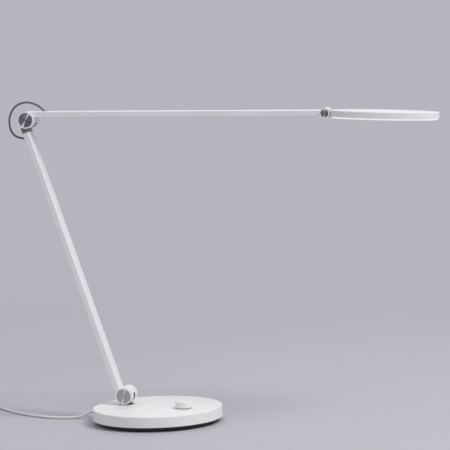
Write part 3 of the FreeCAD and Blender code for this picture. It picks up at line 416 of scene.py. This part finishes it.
def spun_metal(name, dark, light, gloss):
    """Metal turned on a lathe: rings round the piece's own z axis, and sectors of painted highlight on a painted
    dark shade.
    """
    finish = Finish(name, light, gloss, Metallic=1.0, Anisotropic=0.8)
    tangent = finish.add("ShaderNodeTangent", direction_type="RADIAL", axis="Z")
    finish.link(tangent.outputs["Tangent"], "Tangent")
    flat = finish.stretched((1, 1, 0))
    radius = finish.vector_calc("LENGTH", flat)
    inputs = {"W": radius, "Scale": RING_SCALE, "Detail": 3.0}
    rings = finish.add("ShaderNodeTexNoise", inputs, noise_dimensions="1D").outputs["Fac"]
    course = finish.vector_calc("NORMALIZE", flat)
    # Painted highlight: bright sectors along the disc's x, on a painted dark shade.
    across = finish.component(course, "X")
    square = finish.calc("MULTIPLY", across, across)
    highlight_streak = finish.mapped(square, PAINTED_HIGHLIGHT_EDGE, 1.0, 0.0, PAINTED_HIGHLIGHT, interpolation_type="SMOOTHSTEP")
    highlight_wander = finish.spread(finish.noise(2.6, 3, course), *PAINTED_HIGHLIGHT_WANDER)
    highlight_share = finish.calc("ADD", highlight_streak, highlight_wander)
    ridge = finish.calc("ADD", rings, -0.5)
    factor = finish.calc("MULTIPLY_ADD", ridge, RING_SHARE, highlight_share)
    finish.two_tones(finish.mapped(factor, 0.0, 1.0, NOISE_LOW, NOISE_HIGH), dark, light)
    finish.uneven_gloss(rings, 0.05, 0.07)
    finish.relief(rings, 4)
    return finish.material


def brushed_metal(name, colour, gloss, along, depth=6):
    """Metal with fine brush lines along one axis."""
    finish = Finish(name, colour, gloss, Metallic=1.0, Anisotropic=0.45)
    scale = [BRUSH_ALONG if axis == along else BRUSH_ACROSS for axis in "xyz"]
    lines = finish.noise(1.0, 3, finish.stretched(scale))
    finish.uneven_tone(lines, 0.85, 1.12)
    finish.uneven_gloss(lines, 0.06, 0.08)
    finish.relief(lines, depth)
    return finish.material


def cast_metal(name, colour, gloss):
    """Rough metal as it leaves the mould."""
    finish = Finish(name, colour, gloss, Metallic=0.9)
    grit = finish.noise(900, 6)
    finish.uneven_tone(finish.noise(120, 5), 0.7, 1.25)
    finish.relief(grit, 120)
    return finish.material


def rubber(name, colour):
    """Dull, finely grained rubber."""
    finish = Finish(name, colour, 0.72)
    finish.uneven_tone(finish.noise(160, 4), 0.8, 1.3)
    finish.relief(finish.noise(2600, 4), 40)
    return finish.material


def soft_jacket(name, colour, gloss):
    """A cable's extruded jacket: faintly wavy and slightly uneven in gloss."""
    finish = Finish(name, colour, gloss)
    finish.uneven_tone(finish.noise(60, 3), 0.93, 1.05)
    finish.uneven_gloss(finish.noise(220, 3), 0.05, 0.08)
    waves = finish.relief(finish.noise(260, 2), 30)
    finish.relief(finish.noise(3200, 2), 8, waves)
    return finish.material


def circuit_board(name, mask, copper):
    """A solder mask with tracks that show faintly through it."""
    finish = Finish(name, mask, 0.38, Coat_Weight=0.4, Coat_Roughness=0.2)
    inputs = {"Vector": finish.place, "Scale": 320.0}
    cells = finish.add("ShaderNodeTexVoronoi", inputs, distance="MANHATTAN")
    finish.two_tones(cells.outputs["Distance"], mask, copper)
    finish.relief(cells.outputs["Distance"], 30)
    return finish.material


def opal(name, colour, glow, strength):
    """A frosted diffuser that glows evenly, with a very fine prism texture."""
    finish = Finish(name, colour, 0.42, Emission_Color=(*glow, 1), Emission_Strength=strength)
    finish.uneven_tone(finish.noise(18, 2), 0.97, 1.0)
    cells = finish.add("ShaderNodeTexVoronoi", {"Vector": finish.place, "Scale": 1400.0})
    finish.relief(cells.outputs["Distance"], 30)
    return finish.material


WHITE = (0.80, 0.80, 0.815)
# The arms' coat: its colour, its gloss, then the scale and the depth of its texture.
ARM_COAT = (WHITE, 0.33, 1300, 8)
# Each slot's kind of finish, with what that kind asks for.
FINISHES = {
    "cover_white": (coated, (0.82, 0.815, 0.82), 0.36, 2100, 12),
    "arm_white": (coated, *ARM_COAT),
    "housing_white": (coated, WHITE, 0.32, 1300, 8),
    "knob_white": (coated, (0.81, 0.805, 0.81), 0.30, 2600, 10),
    "adapter_white": (coated, (0.77, 0.77, 0.765), 0.40, 1700, 30),
    "bush_white": (coated, (0.70, 0.70, 0.68), 0.35, 1600, 15),
    "washer_nylon": (coated, (0.74, 0.73, 0.68), 0.4, 1500, 12),
    "encoder_grey": (coated, (0.24, 0.25, 0.26), 0.45, 1500, 20),
    "part_black": (coated, (0.025, 0.025, 0.028), 0.4, 1500, 20),
    "plate_black": (coated, (0.014, 0.014, 0.016), 0.46, 1500, 30),
    "grommet_grey": (coated, (0.36, 0.38, 0.47), 0.42, 1500, 20),
    "foot_rubber": (rubber, (0.012, 0.012, 0.013)),
    # The spun discs' two colours are a painted dark shade and a painted highlight.
    "spun_aluminium": (spun_metal, (0.10, 0.10, 0.105), (0.96, 0.96, 1.0), 0.34),
    "satin_steel": (brushed_metal, (0.24, 0.215, 0.20), 0.32, "y"),
    "screw_steel": (brushed_metal, (0.52, 0.52, 0.53), 0.32, "x"),
    "spreader_aluminium": (brushed_metal, (0.70, 0.70, 0.71), 0.38, "x"),
    "blade_nickel": (brushed_metal, (0.66, 0.65, 0.62), 0.22, "z", 2),
    "nut_brass": (brushed_metal, (0.66, 0.50, 0.24), 0.28, "x"),
    "cast_weight": (cast_metal, (0.13, 0.13, 0.14), 0.62),
    "circuit_green": (circuit_board, (0.015, 0.11, 0.045), (0.06, 0.24, 0.08)),
    "board_white": (circuit_board, (0.74, 0.74, 0.72), (0.80, 0.80, 0.78)),
    "wire_grey": (soft_jacket, (0.16, 0.16, 0.17), 0.5),
    # cable_grey is darker than the elbow cable's pale jacket: painted shade, which the coil's tie shares.
    "cable_grey": (soft_jacket, (0.125, 0.122, 0.155), 0.42),
    "cord_white": (soft_jacket, (0.74, 0.74, 0.735), 0.42),
    "led_yellow": (opal, (0.75, 0.62, 0.22), (1.0, 0.86, 0.55), 1.5),
    "diffuser_opal": (opal, (0.55, 0.55, 0.54), (1.0, 0.955, 0.89), 0.62),
}
MATERIALS = {slot: kind(slot, *values) for slot, (kind, *values) in FINISHES.items()}
# The base hinge's discs catch more light all round: a paler painted shade, a dimmer painted highlight.
PAINTED_LIGHT_SPUN = spun_metal("spun_painted_light", (0.40, 0.39, 0.40), (0.80, 0.79, 0.81), 0.36)

# Each hinge's barrel: its joint, and its radius.
BARRELS = {
    "base_hinge_barrel": ("base_hinge", 10.7 * MM),
    "elbow_barrel": ("elbow", 10.7 * MM),
    "head_hinge_barrel": ("head_tilt", 6.7 * MM),
}


def dress(thing, material):
    """Put one material on an object."""
    thing.data.materials.clear()
    thing.data.materials.append(material)


def dress_cad_nodes():
    """Each CAD node in its slot's finish, and the barrels with painted shade in their bores."""
    for part in frame["record"]["subparts"]:
        dress(NODES[part["node"]], MATERIALS[part["material_slot"]])
    for name, (joint, radius) in BARRELS.items():
        low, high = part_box(name)
        centre = (PIVOT[joint].x, (low.y + high.y) / 2, PIVOT[joint].z)
        bore = (centre, radius - COAT_DEPTH, (high.y - low.y) / 2 - COAT_DEPTH)
        dress(NODES[name], coated(name, *ARM_COAT, bore))


def new_piece(name, data, body, slot, stands_for=()):
    """A piece with its finish, riding on its body and standing for CAD nodes."""
    piece = data if isinstance(data, bpy.types.Object) else add_object(name, data)
    dress(piece, MATERIALS[slot])
    if body:
        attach(piece, body)
    if stands_for:
        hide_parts(*stands_for)
    return piece


# ---------------------------------------------------------------- camera and studio

def make_camera():
    """A camera that looks along its yaw and dip, and is rolled a little."""
    data = bpy.data.cameras.new("camera")
    data.lens = CAMERA_LENS
    data.sensor_width = CAMERA_SENSOR
    data.clip_end = CAMERA_REACH
    camera = add_object("camera", data)
    forward = Vector((
        math.sin(CAMERA_YAW) * math.cos(CAMERA_DIP),
        math.cos(CAMERA_YAW) * math.cos(CAMERA_DIP),
        -math.sin(CAMERA_DIP),
    ))
    level = Vector((math.cos(CAMERA_YAW), -math.sin(CAMERA_YAW), 0))
    raised = level.cross(forward)
    right = level * math.cos(CAMERA_ROLL) + raised * math.sin(CAMERA_ROLL)
    up = raised * math.cos(CAMERA_ROLL) - level * math.sin(CAMERA_ROLL)
    turn = Matrix((right, up, -forward)).transposed().to_4x4()
    camera.matrix_world = Matrix.Translation(CAMERA_PLACE) @ turn
    bpy.context.scene.camera = camera


def seen_rays(tree):
    """1 for rays from the camera, and for those seen in gloss or through glass."""
    path = tree.nodes.new("ShaderNodeLightPath")
    total = path.outputs["Is Camera Ray"]
    for name in ("Is Glossy Ray", "Is Transmission Ray"):
        adder = tree.nodes.new("ShaderNodeMath")
        adder.operation = "MAXIMUM"
        tree.links.new(total, adder.inputs[0])
        tree.links.new(path.outputs[name], adder.inputs[1])
        total = adder.outputs[0]
    return total


def make_world():
    """Soft light from all round, and the pale background where it is seen."""
    world = bpy.data.worlds.new("studio")
    world.use_nodes = True
    tree = world.node_tree
    tree.nodes.clear()
    seen = tree.nodes.new("ShaderNodeBackground")
    seen.inputs["Color"].default_value = (*BACKDROP_TONE, 1)
    light = tree.nodes.new("ShaderNodeBackground")
    light.inputs["Color"].default_value = (*SKY_TONE, 1)
    light.inputs["Strength"].default_value = SKY_LIGHT
    mix = tree.nodes.new("ShaderNodeMixShader")
    output = tree.nodes.new("ShaderNodeOutputWorld")
    tree.links.new(seen_rays(tree), mix.inputs[0])
    tree.links.new(light.outputs[0], mix.inputs[1])
    tree.links.new(seen.outputs[0], mix.inputs[2])
    tree.links.new(mix.outputs[0], output.inputs[0])
    bpy.context.scene.world = world


def make_floor():
    """A wide plain floor that turns into the background's tone far from the lamp."""
    data = bpy.data.meshes.new("floor")
    corners = [(-1, -1), (1, -1), (1, 1), (-1, 1)]
    data.from_pydata([(x * FLOOR_HALF, y * FLOOR_HALF, 0) for x, y in corners], [], [(0, 1, 2, 3)])
    floor = add_object("floor", data)
    finish = Finish("floor", FLOOR_TONE, 0.75)
    finish.uneven_tone(finish.noise(1.5, 2), 0.985, 1.01)
    tree = finish.tree
    distance = finish.vector_calc("LENGTH", finish.place)
    fade = finish.mapped(distance, FADE_START, FADE_END, interpolation_type="SMOOTHSTEP")
    share = finish.calc("MULTIPLY", fade, seen_rays(tree))
    far = finish.add("ShaderNodeEmission", {"Color": (*BACKDROP_TONE, 1), "Strength": 1.0})
    mix = finish.add("ShaderNodeMixShader")
    tree.links.new(share, mix.inputs[0])
    tree.links.new(finish.shader.outputs[0], mix.inputs[1])
    tree.links.new(far.outputs[0], mix.inputs[2])
    tree.links.new(mix.outputs[0], tree.nodes["Material Output"].inputs["Surface"])
    data.materials.append(finish.material)


def make_lights():
    """The lamps of the studio, as rectangles that face the same point."""
    for name, (place, sides, power, tone) in LAMPS.items():
        data = bpy.data.lights.new(name, "AREA")
        data.shape = "RECTANGLE"
        data.size, data.size_y = sides
        data.energy = power
        data.color = tone
        lamp = add_object(name, data)
        lamp.matrix_world = facing(Vector(place) - LAMPS_FACE, Vector(place))


# ---------------------------------------------------------------- hinge caps

# Each hinge's caps: their body, their joint, their finish and how far its painted highlight is turned.
CAPS = {
    "base_hinge_cap": ("lower_arm", "base_hinge", PAINTED_LIGHT_SPUN, 78),
    "elbow_cap": ("upper_arm", "elbow", MATERIALS["spun_aluminium"], 62),
    "head_hinge_cap": ("upper_arm", "head_tilt", MATERIALS["spun_aluminium"], 84),
}
# A disc's profile. The axis keeps a tiny radius, and a groove's start and width are shares of
# the pitch.
AXIS_HOLE = 0.02 * MM
DIMPLE_RADIUS = 0.55 * MM
DIMPLE_DEPTH = 0.1 * MM
GROOVE_PITCH = 0.36 * MM
GROOVE_DEPTH = 0.022 * MM
GROOVE_START = 0.3
GROOVE_WIDTH = 0.5
CAP_CHAMFER = 0.22 * MM
CAP_INSET = 0.04 * MM


def cap_profile(radius, thick):
    """A spun disc: a small centre dimple, fine grooves, a chamfered rim and a flat back."""
    edge = radius - CAP_INSET
    floor = thick - GROOVE_DEPTH
    profile = [(AXIS_HOLE, thick - DIMPLE_DEPTH), (DIMPLE_RADIUS, floor)]
    grooves = int((edge - CAP_CHAMFER - DIMPLE_RADIUS) / GROOVE_PITCH)
    for i in range(grooves):
        start = DIMPLE_RADIUS + GROOVE_PITCH * (i + GROOVE_START)
        profile += [(start, thick), (start + GROOVE_WIDTH * GROOVE_PITCH, floor)]
    rim = [(edge - CAP_CHAMFER, thick), (edge, thick - CAP_CHAMFER), (edge, 0)]
    return [*profile, *rim, (AXIS_HOLE, 0)]


def make_caps():
    """A spun disc in place of each hinge's front and rear cap."""
    for name, (body, joint, finish, highlight_turn) in CAPS.items():
        for side, outward in (("front", -1), ("rear", 1)):
            node = f"{name}_{side}"
            low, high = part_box(node)
            inner = high.y if outward < 0 else low.y
            centre = Vector((PIVOT[joint].x, inner, PIVOT[joint].z))
            profile = cap_profile((high.z - low.z) / 2, high.y - low.y)
            piece = add_object(f"{node}_spun", lathe(f"{node}_spun", profile, CAP_SEGMENTS))
            highlight_spin = Matrix.Rotation(math.radians(highlight_turn), 4, "Z")
            piece.matrix_world = facing((0, outward, 0), centre) @ highlight_spin
            new_piece(piece.name, piece, body, "spun_aluminium", [node])
            dress(piece, finish)


# ---------------------------------------------------------------- cables

def elbow_cable_points():
    """The elbow cable's points in the lamp's frame, each laid out in its arm's own frame."""
    elbow = PIVOT["elbow"]
    points = []
    for turn, x, z in CABLE_ROUTE:
        along = Vector((math.cos(turn), 0, -math.sin(turn)))
        outward = Vector((math.sin(turn), 0, math.cos(turn)))
        points.append(elbow + (along * x + outward * z) * MM)
    return points


def make_elbow_cable():
    """The cable that loops round the elbow."""
    points = elbow_cable_points()
    line = mesh_of_curve("elbow-line", spline_curve("elbow-line", points, 0.0, CABLE_STEPS))
    curve = spline_curve("elbow-tube", points, CABLE_RADIUS, CABLE_STEPS)
    tube = mesh_of_curve("elbow-tube", curve)
    shade(tube, CABLE_SHARP_ANGLE)
    # The cable's dark tone is painted shade.
    cable = new_piece("elbow_cable_loop", tube, None, "cable_grey", ["elbow_cable"])
    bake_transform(cable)


def coil_points():
    """The coil's turns as angles, radii and heights, wound inwards and outwards in layers."""
    points = []
    steps = round(LAYERS * LAYER_TURNS * POINTS_PER_TURN)
    for step in range(steps + 1):
        turn = step / POINTS_PER_TURN
        layer, within = divmod(turn, LAYER_TURNS)
        if layer >= LAYERS:
            layer, within = LAYERS - 1, LAYER_TURNS
        last = layer == LAYERS - 1
        crossing = min(1.0, within / (LAYER_TURNS - (0 if last else CLIMB_TURNS)))
        climb = 0.0 if last else smooth_step((within - LAYER_TURNS + CLIMB_TURNS) / CLIMB_TURNS)
        inward = crossing if layer % 2 == 0 else 1 - crossing
        radius = COIL_OUTER + (COIL_INNER - COIL_OUTER) * inward
        height = COIL_FLOOR + (layer + climb) * LAYER_PITCH
        points.append((COIL_START + WHOLE_TURN * turn, radius, height))
    return points


def leaving_points(angle, radius, height):
    """From the coil's last turn out beside it and down, to the strain relief on its left."""
    end = math.pi * (2 * math.floor(angle / WHOLE_TURN) + 1)
    while end - angle < EXIT_TURN:
        end += WHOLE_TURN
    steps = round((end - angle) * POINTS_PER_TURN / WHOLE_TURN)
    points = []
    for step in range(1, steps + 1):
        share = step / steps
        outward = smooth_step((share - OUT_START) / OUT_SPAN)
        down = smooth_step((share - DOWN_START) / DOWN_SPAN)
        points.append((
            angle + (end - angle) * share,
            radius + (EXIT_RADIUS - radius) * outward,
            height + (RELIEF_TIP.z - height) * down,
        ))
    return points


def cord_points():
    """The cord from the base through its coil into the strain relief."""
    turns = coil_points()
    turns += leaving_points(*turns[-1])
    coil = [
        COIL_CENTRE + Vector((radius * math.cos(angle), radius * math.sin(angle), height))
        for angle, radius, height in turns
    ]
    inside = [RELIEF_TIP + Vector((0, -reach, 0)) for reach in CORD_INSIDE_RELIEF]
    return [Vector(CORD_EXIT), *(Vector(point) for point in CORD_ROUTE), *coil, *inside]


# The strain relief's profile, from its tip to its root at the adapter.
RELIEF_AXIS_HOLE = 0.1 * MM
RELIEF_TIP_RADIUS = 2.1 * MM
RELIEF_ROOT_RADIUS = 3.4 * MM
TIP_CHAMFER = 0.3 * MM
TIP_HEIGHT = 0.4 * MM
SLOT_COUNT = 6
FIRST_SLOT = 0.6
SLOT_CUT = 0.55 * MM
# Along a slot: where its floor starts, where that ends and where the next rib starts.
SLOT_STEPS = (0.25 * MM, 1.15 * MM, 1.4 * MM)

# The adapter's case as heights and insets in mm, from its foot, its parting line and its top.
CASE_FOOT = ((0, 1.4), (0.3, 0.7), (0.9, 0.2), (1.6, 0))
CASE_SEAM = ((-0.25, 0), (-0.1, 0.3), (0.1, 0.3), (0.25, 0))
CASE_TOP = ((-2.4, 0), (-1.4, 0.25), (-0.6, 0.9), (-0.15, 1.8), (0, 2.8))
CASE_CORNER = 4

# The tie: where it goes round the coil, its section, and how far it stays above the desk.
TIE_ANGLE = math.radians(-52)
TIE_WIDTH = 5 * MM
TIE_THICK = 0.7 * MM
TIE_CORNER = 1.6 * MM
TIE_EDGE = 0.25 * MM
TIE_LIFT = 0.05 * MM


def make_relief():
    """The adapter's ribbed strain relief, with its tip towards the coil."""
    low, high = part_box("adapter_relief")
    length = high.y - low.y
    floor_start, floor_end, rib = SLOT_STEPS
    tip = RELIEF_TIP_RADIUS
    profile = [(RELIEF_AXIS_HOLE, 0), (tip - TIP_CHAMFER, 0), (tip, TIP_HEIGHT)]
    pitch = length / (SLOT_COUNT + 1)
    for i in range(SLOT_COUNT):
        z = pitch * (i + FIRST_SLOT)
        radius = tip + (RELIEF_ROOT_RADIUS - tip) * z / length
        floor = radius - SLOT_CUT
        profile += [
            (radius, z), (floor, z + floor_start), (floor, z + floor_end), (radius, z + rib),
        ]
    profile += [(RELIEF_ROOT_RADIUS, length), (RELIEF_AXIS_HOLE, length)]
    data = lathe("adapter_relief_ribbed", profile, RELIEF_SEGMENTS)
    relief = add_object("adapter_relief_ribbed", data)
    relief.matrix_world = facing((0, -1, 0), RELIEF_TIP)
    return new_piece(relief.name, relief, "base", "cord_white", ["adapter_relief"])


def make_case():
    """The adapter's case, with rounded edges and a parting line."""
    low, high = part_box("adapter_body")
    centre, half = (low + high) / 2, (high - low) / 2
    rings = []
    for height, steps in ((0, CASE_FOOT), (half.z, CASE_SEAM), (2 * half.z, CASE_TOP)):
        for rise, inset in steps:
            rings.append(rounded_box_ring(
                half.x - inset * MM, half.y - inset * MM, (CASE_CORNER - inset * 0.5) * MM,
                height + rise * MM,
            ))
    case = add_object("adapter_case", mesh_from_rings("adapter_case", rings))
    case.location = (centre.x, centre.y, low.z)
    return new_piece("adapter_case", case, "base", "adapter_white", ["adapter_body"])


def make_tie():
    """A soft strap round the coil's turns."""
    low = COIL_INNER - CORD_RADIUS
    high = COIL_OUTER + CORD_RADIUS
    top = COIL_FLOOR + CORD_RADIUS + (LAYERS - 1) * LAYER_PITCH
    half_x, half_z = (high - low) / 2, top / 2
    outward = Vector((math.cos(TIE_ANGLE), math.sin(TIE_ANGLE), 0))
    across = Vector((-outward.y, outward.x, 0))
    centre = COIL_CENTRE + outward * (low + high) / 2 + Vector((0, 0, half_z))
    inner, outer = (
        rounded_box_ring(half_x + grown, half_z + grown, TIE_CORNER + grown, 0)
        for grown in (0, TIE_THICK)
    )

    def at(point, side):
        x, z, _ = point
        height = max(z, -half_z + TIE_LIFT)
        return centre + outward * x + across * side + Vector((0, 0, height))

    half = TIE_WIDTH / 2
    rings = [
        [at(a, -half), at(b, -half + TIE_EDGE), at(b, half - TIE_EDGE), at(a, half)]
        for a, b in zip(inner, outer)
    ]
    strap = add_object("coil_tie", mesh_from_rings("coil_tie", rings, loop=True))
    return new_piece("coil_tie", strap, "base", "cable_grey")


def make_cord():
    """The cord as one curve, with the adapter at its end and the tie round its coil."""
    with_pieces = [make_relief(), make_case(), NODES["adapter_pins"], make_tie()]
    data = spline_curve("cord", cord_points(), CORD_RADIUS, CORD_STEPS)
    cord = new_piece("cord", data, "base", "cord_white", ["cord_run", "cord_coil", "cord_tail"])


dress_cad_nodes()
make_camera()
make_world()
make_floor()
make_lights()
make_caps()
make_elbow_cable()
make_cord()

bpy.context.scene.view_settings.view_transform = "Standard"
